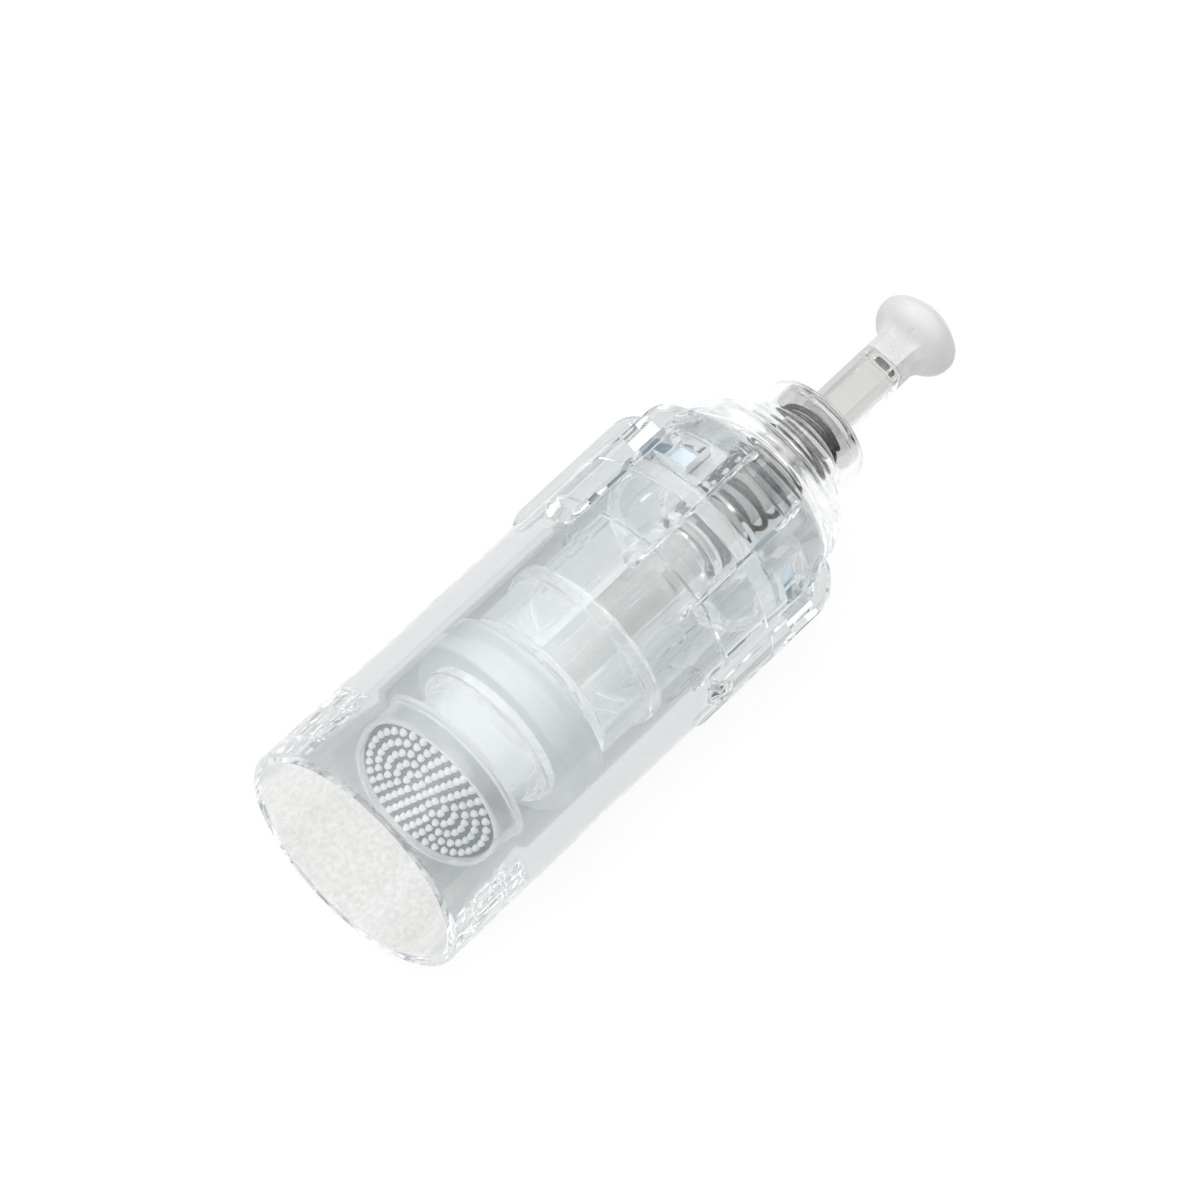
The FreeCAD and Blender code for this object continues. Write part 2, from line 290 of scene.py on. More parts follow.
def addRipple(tree, shader, scale, strength, distance):
    # low moulding ripple as a bump
    place = addNode(tree, "ShaderNodeTexCoord")
    noise = addNode(tree, "ShaderNodeTexNoise", Scale=scale, Detail=3.0)
    bump = addNode(tree, "ShaderNodeBump", Strength=strength, Distance=distance)
    tree.links.new(place.outputs["Object"], noise.inputs["Vector"])
    tree.links.new(noise.outputs["Fac"], bump.inputs["Height"])
    tree.links.new(bump.outputs["Normal"], shader.inputs["Normal"])
    return noise.outputs["Fac"]


def spread(tree, source, ends, values=(0.0, 1.0), **settings):
    # an output that runs over the values while the source runs over the ends
    span = addNode(tree, "ShaderNodeMapRange", **settings)
    span.inputs["From Min"].default_value, span.inputs["From Max"].default_value = ends
    span.inputs["To Min"].default_value, span.inputs["To Max"].default_value = values
    tree.links.new(source, span.inputs["Value"])
    return span.outputs["Result"]


def blend(tree, source, ends, dark, light):
    # a colour output that runs from dark to light while the source runs over the ends
    ramp = addNode(tree, "ShaderNodeValToRGB")
    for stop, place, color in zip(ramp.color_ramp.elements, ends, (dark, light)):
        stop.position = place
        stop.color = (*color, 1)
    tree.links.new(source, ramp.inputs["Fac"])
    return ramp.outputs["Color"]


def addRoughness(tree, shader, source, values):
    rough = spread(tree, source, noiseEnds["roughness"], values)
    tree.links.new(rough, shader.inputs["Roughness"])


def addTint(tree, shader, source, dark, light):
    tint = blend(tree, source, noiseEnds["tint"], dark, light)
    tree.links.new(tint, shader.inputs["Base Color"])


def paintCarriedLight(shader, amount):
    # painted light: emission that stands for the light that clear walls carry into the pieces they surround
    shader.inputs["Emission Color"].default_value = (1, 1, 1, 1)
    shader.inputs["Emission Strength"].default_value = amount


def addGrain(tree, shader, tint, grain):
    # fine moulded grain on the far inside wall of the mouth, faded out along x and across the axis
    place = addNode(tree, "ShaderNodeTexCoord")
    along = addNode(tree, "ShaderNodeSeparateXYZ")
    across = addNode(tree, "ShaderNodeVectorMath", operation="DOT_PRODUCT")
    turn = math.radians(grain["turn"])
    across.inputs[1].default_value = (0, -math.sin(turn), math.cos(turn))
    tree.links.new(place.outputs["Object"], along.inputs[0])
    tree.links.new(place.outputs["Object"], across.inputs[0])
    both = addNode(tree, "ShaderNodeMath", operation="MULTIPLY")
    masks = ((along.outputs["X"], grain["fade"]), (across.outputs["Value"], grain["side"]))
    for socket, (source, ends) in zip(both.inputs, masks):
        mask = spread(tree, source, [end * mm for end in ends], interpolation_type="SMOOTHSTEP")
        tree.links.new(mask, socket)
    noise = addNode(tree, "ShaderNodeTexNoise", Scale=grain["scale"], Detail=4.0)
    tree.links.new(place.outputs["Object"], noise.inputs["Vector"])
    spotted = blend(tree, noise.outputs["Fac"], grain["ends"], grain["dark"], grain["light"])
    mix = addNode(tree, "ShaderNodeMix", data_type="RGBA")
    plainColor, grainColor, result = mix.inputs[6], mix.inputs[7], mix.outputs[2]
    plainColor.default_value = (*tint, 1)
    tree.links.new(both.outputs["Value"], mix.inputs["Factor"])
    tree.links.new(spotted, grainColor)
    tree.links.new(result, shader.inputs["Base Color"])


mouthGrain = {
    "turn": 199.4,          # middle of the grain, in degrees round the axis
    "fade": (6.2, 4.6),     # where it starts and is full, in millimetres behind the mouth
    "side": (1.0, 3.0),     # where it starts and is full, in millimetres from the axis towards its middle
    "scale": 3200.0,
    "ends": (0.38, 0.6),
    "dark": (0.78, 0.78, 0.77),
    "light": (0.89, 0.89, 0.88),
}
clearFinish = {"ior": 1.5, "rippleDepth": 0.00004, "shade": 0.985, "roughness": (0.6, 1.4)}
clearFinishes = {
    "shell": dict(tint=(0.69, 0.71, 0.715), roughness=0.0, ripple=0.02, grain=mouthGrain),
    "rear": dict(tint=(0.965, 0.97, 0.97), roughness=0.03),
    # painted shade: the hooks' blue-grey tint stands for the dark refraction seen through them
    "hook": dict(tint=(0.6, 0.71, 0.79), roughness=0.12, clearness=0.6),
    "inner": dict(
        tint=(0.99, 0.992, 0.99),
        roughness=0.03,
        clearness=0.93,
        ripple=0.4,
        scale=420.0,
        # painted light: a faint glow on the inner pieces
        glow=0.055,
    ),
    "rod": dict(tint=(0.62, 0.625, 0.61), roughness=0.05),
    # painted light: the flange glows faintly
    "flange": dict(tint=(0.99, 0.992, 0.99), roughness=0.05, clearness=0.8, glow=0.06),
}


def clearPlastic(name, tint, roughness, ripple=0.15, scale=260.0, clearness=1.0, grain=None, glow=0.0):
    f = clearFinish
    material, tree, shader = newMaterial(name)
    paintCarriedLight(shader, glow)
    shader.inputs["Transmission Weight"].default_value = clearness
    shader.inputs["IOR"].default_value = f["ior"]
    noise = addRipple(tree, shader, scale, ripple, f["rippleDepth"])
    addRoughness(tree, shader, noise, [roughness * part for part in f["roughness"]])
    if grain:
        addGrain(tree, shader, tint, grain)
    else:
        addTint(tree, shader, noise, [part * f["shade"] for part in tint], tint)
    return material


cloudyFinishes = {
    "siliconeRubber": dict(
        dark=(0.93, 0.94, 0.945),
        light=(0.955, 0.965, 0.97),
        roughness=(0.3, 0.42),
        ripple=(500.0, 0.2, 0.00003),
        clearness=0.45,
        ior=1.41,
        # painted light: the rubber glows faintly
        glow=0.06,
    ),
    "milkyPlastic": dict(
        dark=(0.62, 0.62, 0.615),
        light=(0.68, 0.68, 0.675),
        roughness=(0.24, 0.36),
        ripple=(420.0, 0.2, 0.00004),
        clearness=0.35,
        ior=1.5,
    ),
}
metalFinishes = {
    "springSteel": dict(
        dark=(0.015, 0.015, 0.014),
        light=(0.07, 0.07, 0.066),
        roughness=(0.22, 0.4),
        ripple=(3000.0, 0.25, 0.00001),
        metal=1.0,
    ),
    # the chip's own grey, kept darker than the points as painted shade between them
    "chipBaseWithPaintedShade": dict(
        dark=(0.32, 0.335, 0.34),
        light=(0.42, 0.435, 0.44),
        roughness=(0.14, 0.26),
        ripple=(1400.0, 0.2, 0.00002),
        metal=0.4,
    ),
    # painted highlight: the points are whiter than the chip and glow, so they read as lit domes
    "chipPointsPaintedHighlight": dict(
        dark=(0.9, 0.91, 0.91),
        light=(0.97, 0.97, 0.97),
        roughness=(0.14, 0.26),
        ripple=(1400.0, 0.2, 0.00002),
        metal=0.15,
        glow=0.12,
    ),
}


def rippled(name, dark, light, roughness, ripple, glow=0.0):
    # what the cloudy and metal finishes share
    material, tree, shader = newMaterial(name)
    paintCarriedLight(shader, glow)
    noise = addRipple(tree, shader, *ripple)
    addRoughness(tree, shader, noise, roughness)
    addTint(tree, shader, noise, dark, light)
    return material, shader


def cloudy(name, clearness, ior, **values):
    # translucent: part glass, part body colour
    material, shader = rippled(name, **values)
    shader.inputs["Transmission Weight"].default_value = clearness
    shader.inputs["IOR"].default_value = ior
    return material


def metallic(name, metal, **values):
    material, shader = rippled(name, **values)
    shader.inputs["Metallic"].default_value = metal
    return material


clear = {key: clearPlastic(key + "Plastic", **values) for key, values in clearFinishes.items()}
rubber, milky = (cloudy(name, **values) for name, values in cloudyFinishes.items())
steel, chipBaseWithPaintedShade, chipPointsPaintedHighlight = (metallic(name, **values) for name, values in metalFinishes.items())
print("materials made:", len(bpy.data.materials))


# nozzle shell

bayonet = {  # angles in degrees, lengths in millimetres
    "turn": 23.9,           # middle of the first pair of ribs
    "sectors": 3,
    "ribOffset": 17.7,
    "ribArc": 6.0,
    "lugArc": 17.0,
    "windowOffset": 41.0,
    "windowArc": 19.0,
    "windowX": (25.75, 27.65),
    "frontX": 19.3,
    "rampLength": 1.2,
    "topR": 7.45,
    "fallX": 27.75,
    "fall": 1.7,
    "edge": 0.16,           # width of the soft edge of a rib
}


def around(offsets):
    # the same offsets from the middle of every sector
    middles = [bayonet["turn"] + 360.0 / bayonet["sectors"] * k for k in range(bayonet["sectors"])]
    return [middle + offset for middle in middles for offset in offsets]


ribAngles = around((-bayonet["ribOffset"], bayonet["ribOffset"]))
lugAngles = around((60.0,))
windowAngles = around((-bayonet["windowOffset"], bayonet["windowOffset"]))

shell = {
    "bodyR": 7.0,
    "sleeveEndX": 18.7,
    "bodyRearR": 6.95,
    "mouthR": 6.35,
    "boreR": 5.57,
    "boreRearR": 5.47,
    "throatR": 5.31,
    "rearBoreR": 5.46,
    "funnelX": 5.8,
    "stepX": 21.3,
    "seatX": nodeSpan("guide_plate")[0],
    "endX": nodeSpan("nozzle_shell")[1],
}


def ribTop(x):
    # height of a rib's top along the shell
    b = bayonet
    if x < b["frontX"] or x > b["fallX"] + b["fall"]:
        return 0.0
    if x < b["frontX"] + b["rampLength"]:
        t = (x - b["frontX"]) / b["rampLength"]
        return shell["bodyR"] + (b["topR"] - shell["bodyR"]) * math.sin(t * math.pi / 2)
    if x < b["fallX"]:
        return b["topR"]
    return b["topR"] - b["fall"] + math.sqrt(max(0.0, b["fall"] ** 2 - (x - b["fallX"]) ** 2))


def ribMask(x, angle):
    # 1 on a rib or lug, 0 off it, with a soft edge and a rounded front end
    best = 0.0
    for middles, width in ((ribAngles, bayonet["ribArc"]), (lugAngles, bayonet["lugArc"])):
        half = math.radians(width / 2) * bayonet["topR"]
        corner = min(half, 0.6)
        for middle in middles:
            across = abs(math.radians(offAngle(angle, middle))) * bayonet["topR"]
            if across > half + 1:
                continue
            along = max(0.0, bayonet["frontX"] + corner - x)
            side = max(0.0, across - (half - corner))
            inside = corner - math.hypot(along, side)
            best = max(best, smoothStep(-bayonet["edge"] / 2, bayonet["edge"] / 2, inside))
    return best


def shellRelief(x, r, angle, outward):
    # lifts the outer skin into ribs and lugs
    if outward < 0.15 or x < bayonet["frontX"] - 0.2:
        return r
    top = ribTop(x)
    if top <= r:
        return r
    return r + (top - r) * ribMask(x, angle)


def makeShell():
    s = shell
    mouthEdge, rearEdge = 0.2, 0.3
    rows = outline([
        (0, s["mouthR"] + 0.02, mouthEdge),
        (0, s["bodyR"], mouthEdge),
        (s["sleeveEndX"], s["bodyR"], 0.1),
        (bayonet["frontX"], s["bodyRearR"], 0.1),
        (bayonet["fallX"], s["bodyRearR"], 0.6),
        (s["endX"] - 0.3, s["rearBoreR"] + 0.3, rearEdge),
        (s["endX"], s["rearBoreR"] + 0.14, 0.12),
        (s["endX"], s["rearBoreR"], 0.05),
        (s["seatX"], s["rearBoreR"], 0.03),
        (s["seatX"], s["throatR"], 0.06),
        (s["stepX"] + 0.2, s["throatR"], 0.1),
        (s["stepX"], s["boreRearR"], 0.1),
        (s["funnelX"], s["boreR"], 5.0),
    ])
    x0, x1 = bayonet["windowX"]
    places = list(np.arange(19.0, 20.9, 0.1)) + list(np.arange(21.2, s["endX"], 0.35))
    places += [x0 - 0.12, x0, (x0 + x1) / 2, x1, x1 + 0.12] + list(np.arange(27.8, s["endX"], 0.1))
    places += [4.0, 8.0, 12.0, 16.0]
    places = {round(float(p), 3) for p in places}
    places = [p for p in places if p in (x0, x1) or min(abs(p - x0), abs(p - x1)) > 0.05]
    places += [row[0] for row in rows if x0 < row[0] < x1]  # both skins of a window need the same rows
    rows = addRows(rows, places)
    extra = []
    for a in ribAngles:
        extra += [a + d for d in np.arange(-4.5, 4.51, 0.5)]
    for a in lugAngles:
        half = bayonet["lugArc"] / 2
        extra += [a + sign * half + d for sign in (-1, 1) for d in np.arange(-5.0, 1.51, 0.5) * sign]
    halfWindow = bayonet["windowArc"] / 2
    windows = []
    for a in windowAngles:
        extra += [a - halfWindow, a + halfWindow]
        windows.append((x0, x1, (a - halfWindow) % 360.0, (a + halfWindow) % 360.0))
    bm, exact, walls = spun(rows, evenTurns(240, extra), shellRelief, windows)
    return finished("nozzleShell", bm, "shell", "nozzle_shell",
                    [clear["shell"]], exact, flat=walls)


# pieces inside the rear end


plate = {"thick": 1.0, "hubR": 2.1, "holeR": 1.46}


def makeGuidePlate():
    front, rear, r = nodeSpan("guide_plate")
    back = front + plate["thick"]
    rows = outline([
        (front, plate["holeR"], 0.15),
        (front, r, 0.06),
        (back, r, 0.06),
        (back, plate["hubR"], 0.2),
        (rear, plate["hubR"], 0.08),
        (rear, plate["holeR"], 0.05),
    ])
    bm, exact, _ = spun(rows, evenTurns(160))
    return finished("guidePlate", bm, "shell", "guide_plate", [clear["inner"]], exact)


housing = {
    "skirtR": 5.38,
    "skirtInR": 4.63,
    "neckR": 3.24,
    "neckX": 34.05,
    "boreR": 2.73,
    "sleeveX": 27.2,
    "dome": 2.25,
    "domeX": 30.75,
    "hookR": 6.25,
    "hookGap": 0.1,         # room for a hook along its window
    "hookSideGap": 1.0,     # and at each side, in degrees
    "hookRamp": 0.5,
}
hookX = (bayonet["windowX"][0] + housing["hookGap"], bayonet["windowX"][1] - housing["hookGap"])
hookHalf = bayonet["windowArc"] / 2 - housing["hookSideGap"]


def housingRelief(x, r, angle, outward):
    # lifts the skirt into the hooks that fill the windows
    h = housing
    x0, x1 = hookX
    soft = 0.3
    near = min(abs(offAngle(angle, a)) for a in windowAngles)
    if outward < 0.5 or not x0 <= x <= x1 or r < h["skirtR"] - 0.1 or near >= hookHalf + soft:
        return r
    top = min(h["hookR"], h["hookR"] - (x - (x1 - h["hookRamp"])))
    edge = 1.0 - smoothStep(hookHalf - soft, hookHalf + soft, near)
    return r + (top - r) * edge


def makeRearHousing():
    h = housing
    front, rear, _ = nodeSpan("rear_housing")
    dome = h["dome"]
    rows = outline([
        (front, h["skirtInR"], 0.08),
        (front, h["skirtR"], 0.15),
        (h["domeX"], h["skirtR"], 0.02),
        *arc(h["domeX"], h["skirtR"] - dome, dome, 88, 22, 9),
        (h["neckX"] - 0.1, h["neckR"], 0.5),
        (rear, h["neckR"], 0.25),
        (rear, h["boreR"], 0.08),
        (h["sleeveX"], h["boreR"], 0.06),
        (h["sleeveX"], h["neckR"], 0.1),
        (h["domeX"] + 1.1, h["neckR"], 0.5),
        (h["domeX"] + 1.1, h["neckR"] + 0.5, 0.3),
        (h["domeX"], h["skirtInR"], 0.8),
    ])
    x0, x1 = hookX
    rampX = x1 - h["hookRamp"]
    places = [x0 - 0.01, x0 + 0.005, x0 + 0.06, (x0 + x1) / 2]
    places += [rampX - 0.06, rampX, rampX + 0.06, x1 - 0.005, x1 + 0.01]
    rows = addRows(rows, places)
    extra = [a + s * (hookHalf + d) for a in windowAngles for s in (-1, 1) for d in (-0.6, -0.3, 0.0, 0.3)]
    bm, exact, _ = spun(rows, evenTurns(144, extra), housingRelief)
    for face in bm.faces:
        c = face.calc_center_median() / mm
        if math.hypot(c.y, c.z) > h["skirtR"] + 0.2:
            # the hook faces take the blue-grey painted shade
            face.material_index = 1  # the hooks
    return finished("rearHousing", bm, "shell", "rear_housing",
                    [clear["rear"], clear["hook"]], exact)


spring = {
    "wireR": 0.16,
    "outR": 2.04,
    "closedTurns": 1.1,     # at each end
    "activeTurns": 8.0,
    "closedPitch": 1.02,    # in wire thicknesses
    "ringSteps": 14,
    "turnSteps": 56,
}


def makeSpring():
    # coil with closed ends: the pitch grows from one wire to the working pitch and back
    front, rear, _ = nodeSpan("return_spring")
    wire, closedTurns, active = spring["wireR"], spring["closedTurns"], spring["activeTurns"]
    meanR = spring["outR"] - wire
    length = rear - front - 2 * wire
    closedPitch = 2 * wire * spring["closedPitch"]
    total = 2 * closedTurns + active
    steps = int(total * spring["turnSteps"])
    turns = np.linspace(0, total, steps + 1)
    weight = np.array([smoothStep(closedTurns - 0.25, closedTurns + 0.25, min(t, total - t)) for t in turns])
    middle = (weight[1:] + weight[:-1]) / 2
    stepTurn = total / steps
    pitch = (length - closedPitch * float((1 - middle).sum()) * stepTurn) / (float(middle.sum()) * stepTurn)
    along = np.concatenate([[0], np.cumsum((closedPitch * (1 - middle) + pitch * middle) * stepTurn)])
    bm = bmesh.new()
    rings = []
    for t, x in zip(turns, along):
        a = 2 * math.pi * t
        radial = Vector((0, -math.sin(a), math.cos(a)))
        centre = Vector((front + wire + x, 0, 0)) + radial * meanR
        tangent = Vector((pitch / (2 * math.pi * meanR), -math.cos(a), -math.sin(a))).normalized()
        other = tangent.cross(radial)
        ring = []
        for k in range(spring["ringSteps"]):
            b = 2 * math.pi * k / spring["ringSteps"]
            ring.append(bm.verts.new((centre + (radial * math.cos(b) + other * math.sin(b)) * wire) * mm))
        rings.append(ring)
    for a, b in zip(rings, rings[1:]):
        for k in range(spring["ringSteps"]):
            n = (k + 1) % spring["ringSteps"]
            bm.faces.new((a[k], a[n], b[n], b[k]))
    bm.faces.new(rings[0])
    bm.faces.new(list(reversed(rings[-1])))
    bmesh.ops.recalc_face_normals(bm, faces=bm.faces)
    piece = finished("returnSpring", bm, "shell", "return_spring", [steel])
    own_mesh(piece)
    return piece


# plunger

stem = {
    "side": 2.5,
    "chamfer": 0.45,
    "turn": 5.5,
    "rodR": 1.4,
    "collarR": 2.65,
    "collarX": (35.45, 36.1),
    "endX": 41.1,
    "spigotR": 0.7,
    "unitR": 1.5,           # drawn radius of the square stretch, before it is made square
}


def stemR(angle):
    # polar radius of the chamfered square
    h, c = stem["side"] / 2, stem["chamfer"]
    a = math.radians(angle - stem["turn"])
    ca, sa = abs(math.cos(a)), abs(math.sin(a))
    return min(h / max(ca, 1e-6), h / max(sa, 1e-6), (2 * h - c) / (ca + sa))


def stemTurns(count):
    h, c = stem["side"] / 2, stem["chamfer"]
    corner = math.degrees(math.atan2(h - c, h))
    extra = []
    for k in range(4):
        for a in (corner, 90.0 - corner):
            extra += [stem["turn"] + 90.0 * k + a + d for d in (-1.6, -0.5, 0.5, 1.6)]
    return evenTurns(count, extra)


def makePushRod():
    front, rear, _ = nodeSpan("push_rod")
    rodR, collarR, unitR = stem["rodR"], stem["collarR"], stem["unitR"]
    c0, c1 = stem["collarX"]
    rows = outline([
        (front, 0),
        (front, rodR, 0.2),
        (c0, rodR, 0.08),
        (c0, collarR, 0.06),
        (c1, collarR, 0.22),
        (c1, unitR, 0.03),
        (stem["endX"], unitR, 0.05),
        (stem["endX"], stem["spigotR"], 0.02),
        (rear, stem["spigotR"], 0.1),
        (rear, 0),
    ])
    rows = addRows(rows, [c1 + 0.02, c1 + 0.2, 38.0, 40.0, stem["endX"] - 0.08])

    def relief(x, r, angle, outward):
        if x > c1 + 0.001 and r > stem["spigotR"] + 0.1:
            return r * stemR(angle) / unitR
        return r

    bm, exact, _ = spun(rows, stemTurns(96), relief)
    return finished("pushRod", bm, "plunger", "push_rod", [clear["rod"]], exact)


head = {"neckX": 42.3, "widestX": 43.95, "r": 2.5, "edge": 0.9, "domeR": 3.085, "holeDepth": 1.75}


def makeDriveHead():
    front, rear, _ = nodeSpan("drive_head")
    bore = stem["spigotR"] + 0.02
    rows = outline([
        (front + head["holeDepth"], 0),
        (front + head["holeDepth"], bore, 0.05),
        (front, bore, 0.05),
        (front, stem["unitR"], 0.06),
        (head["neckX"], stem["unitR"], 0.5),
        (head["neckX"] + 0.45, 1.7, 1.0),
        (head["widestX"] - 0.85, 2.14, 2.0),
        (head["widestX"] - 0.35, 2.46, 1.2),
        *arc(head["widestX"], head["r"] - head["edge"], head["edge"], 80, 46, 5),
        *arc(rear - head["domeR"], 0, head["domeR"], 40, 8, 7),
        (rear, 0),
    ])
    rows = addRows(rows, [41.5, 42.0, 42.2])

    def relief(x, r, angle, outward):
        if r < bore + 0.1:
            return r
        square = 1.0 - smoothStep(head["neckX"] - 0.1, head["neckX"] + 1.0, x)
        return r * (1 + square * (stemR(angle) / stem["unitR"] - 1))

    bm, exact, _ = spun(rows, stemTurns(96), relief)
    return finished("driveHead", bm, "plunger", "drive_head", [milky], exact)


carrier = {
    "barrelInR": 3.63,
    "socketR": 4.25,
    "floorX": 12.7,
    "socketEndX": 11.9,
    "skirtR": 4.7,
    "skirtInR": 3.95,
    "ringR": 5.06,
    "ringX": (16.5, 17.4),
    "hubR": 2.1,
    "finR": 4.5,
    "finCorner": 0.8,
    "finGap": 0.7,          # from the end of the fins to the end of the hub
    "finThick": 0.8,
    "fins": 4,
    "finTurn": 14.0,
    "rodR": 1.42,           # hole for the rod
}


def finTop(x, rear):
    # height of a fin's top along the hub
    c = carrier
    corner = c["finCorner"]
    end = rear - c["finGap"]
    if x > end:
        return c["hubR"]
    top = c["finR"] if x > c["ringX"][1] + 0.02 else c["skirtInR"] - 0.03
    if x > end - corner:
        top = c["finR"] - corner + math.sqrt(max(0.0, corner ** 2 - (x - end + corner) ** 2))
    return top


def makeCarrier():
    c = carrier
    front, rear, _ = nodeSpan("carrier")
    hubFront = c["floorX"] + 1.0
    rows = outline([
        (front, c["barrelInR"], 0.1),
        (front, c["socketR"], 0.12),
        (c["floorX"] + 0.1, c["socketR"], 0.04),
        (c["floorX"] + 0.1, c["skirtR"], 0.25),
        (c["ringX"][0], c["skirtR"], 0.04),
        (c["ringX"][0], c["ringR"], 0.2),
        (c["ringX"][1], c["ringR"], 0.2),
        (c["ringX"][1], c["skirtInR"], 0.06),
        (hubFront, c["skirtInR"], 0.1),
        (hubFront, c["hubR"], 0.1),
        (rear, c["hubR"], 0.2),
        (rear, c["rodR"], 0.04),
        (c["floorX"] + 0.5, c["rodR"], 0.04),
        (c["floorX"] + 0.5, 0.0),
        (c["socketEndX"], 0.0),
        (c["socketEndX"], c["barrelInR"], 0.04),
    ])
    start = next(i for i, r in enumerate(rows) if r[1] < 1e-6 and rows[i - 1][1] < 1e-6)
    rows = rows[start:] + rows[:start]  # the open chain starts and ends on the axis
    end = rear - c["finGap"]
    ringEnd = c["ringX"][1]
    places = [hubFront + 0.15, ringEnd + 0.01, ringEnd + 0.03, 19.0, 21.0]
    places += [end + d for d in (-0.8, -0.65, -0.45, -0.25, -0.1, -0.03, -0.005, 0.005)]
    rows = addRows(rows, places)
    gap = 360.0 / c["fins"]
    half = c["finThick"] / 2

    def relief(x, r, angle, outward):
        if outward < 0.5 or abs(r - c["hubR"]) > 0.02 or x < hubFront + 0.1:
            return r
        off = abs((angle - c["finTurn"] + gap / 2) % gap - gap / 2)
        reach = half / max(math.sin(math.radians(off)), 1e-6)
        return max(r, min(finTop(x, rear), reach))

    tip = math.degrees(math.asin(half / c["finR"]))
    root = math.degrees(math.asin(half / c["hubR"]))
    extra = []
    for k in range(c["fins"]):
        for side in (-1, 1):
            offs = [0.0, tip - 0.4, tip, tip + 0.35, *np.linspace(tip + 0.9, root - 0.5, 6), root, root + 0.6]
            extra += [c["finTurn"] + gap * k + side * o for o in offs]
    bm, exact, _ = spun(rows, evenTurns(120, extra), relief)
    return finished("plungerCarrier", bm, "plunger", "carrier", [clear["inner"]], exact)


wiper = {"gap": 0.02, "webThick": 0.45, "frontLip": 0.85, "rearLip": 0.45, "slope": 0.3, "rearLower": 0.1}


def makeWiper():
    w = wiper
    front, rear, r = nodeSpan("wiper_seal")
    inside = carrier["socketR"] + w["gap"]
    web = carrier["socketR"] + w["webThick"]
    rearR = r - w["rearLower"]
    rows = outline([
        (front, inside, 0.05),
        (front, r - 0.1, 0.2),
        (front + 0.3, r, 0.3),
        (front + w["frontLip"], r, 0.1),
        (front + w["frontLip"] + w["slope"], web, 0.15),
        (rear - w["rearLip"] - w["slope"], web, 0.15),
        (rear - w["rearLip"], rearR, 0.1),
        (rear - 0.12, rearR - 0.06, 0.3),
        (rear, rearR - 0.35, 0.1),
        (rear, inside, 0.05),
    ])
    bm, exact, _ = spun(rows, evenTurns(160))
    return finished("wiperSeal", bm, "plunger", "wiper_seal", [rubber], exact)


tip = {"chipR": 4.45, "chipFrontX": 5.95, "chipThick": 0.7, "barrelR": 3.61, "barrelInR": 3.06, "backX": 7.1}


def makeTipHolder():
    front, rear, r = nodeSpan("tip_holder")
    pocketR = tip["chipR"] + 0.02
    pocketX = tip["chipFrontX"] + tip["chipThick"] + 0.02
    back = tip["backX"]
    rows = outline([
        (pocketX, 0),
        (pocketX, pocketR, 0.05),
        (front, pocketR, 0.08),
        (front, r, 0.15),
        (back, r, 0.1),
        (back, tip["barrelR"], 0.2),
        (rear, tip["barrelR"], 0.05),
        (rear, tip["barrelInR"], 0.05),
        (back + 0.2, tip["barrelInR"], 0.3),
        (back + 0.2, 0),
    ])
    bm, exact, _ = spun(rows, evenTurns(180))
    return finished("tipHolder", bm, "plunger", "tip_holder", [clear["flange"]], exact)


points = {
    "rings": 6,             # round one in the centre
    "pitch": 0.66,
    "baseR": 0.22,
    "height": 0.28,
    "sides": 14,
    "steps": 5,
    "sunk": 0.01,
}


def addPoint(bm, baseX, y, z):
    # a small dome that stands towards the mouth
    p = points
    rings = []
    for s in range(p["steps"]):
        t = math.pi / 2 * s / p["steps"]
        radius, height = p["baseR"] * math.cos(t), p["height"] * math.sin(t)
        ring = []
        for q in range(p["sides"]):
            a = 2 * math.pi * q / p["sides"]
            spot = Vector((baseX - height, y + radius * math.cos(a), z + radius * math.sin(a)))
            ring.append(bm.verts.new(spot * mm))
        rings.append(ring)
    top = bm.verts.new(Vector((baseX - p["height"], y, z)) * mm)
    edges = [(q, (q + 1) % p["sides"]) for q in range(p["sides"])]
    faces = []
    for lower, upper in zip(rings, rings[1:]):
        faces += [(lower[q], lower[n], upper[n], upper[q]) for q, n in edges]
    faces += [(rings[-1][q], rings[-1][n], top) for q, n in edges]
    for face in faces:
        # the domes take the white painted-highlight finish
        bm.faces.new(face).material_index = 1
    bm.faces.new(list(reversed(rings[0])))


def makeChip():
    x0, x1 = tip["chipFrontX"], tip["chipFrontX"] + tip["chipThick"]
    rows = outline([(x0, 0), (x0, tip["chipR"], 0.06), (x1, tip["chipR"], 0.06), (x1, 0)])
    bm, exact, _ = spun(rows, evenTurns(160))
    for ring in range(points["rings"] + 1):
        count = max(1, 6 * ring)
        radius = ring * points["pitch"]
        for k in range(count):
            a = 2 * math.pi * (k + 0.5 * (ring % 2)) / count
            addPoint(bm, x0 + points["sunk"], -radius * math.sin(a), radius * math.cos(a))
    bmesh.ops.recalc_face_normals(bm, faces=bm.faces)
    return finished("needleChip", bm, "plunger", "needle_chip", [chipBaseWithPaintedShade, chipPointsPaintedHighlight], exact)


for make in (makeShell, makeGuidePlate, makeRearHousing, makeSpring, makePushRod, makeDriveHead,
             makeCarrier, makeWiper, makeTipHolder, makeChip):
    made = make()
    print("made", made.name, len(made.data.polygons), "faces")


# floor, light and camera

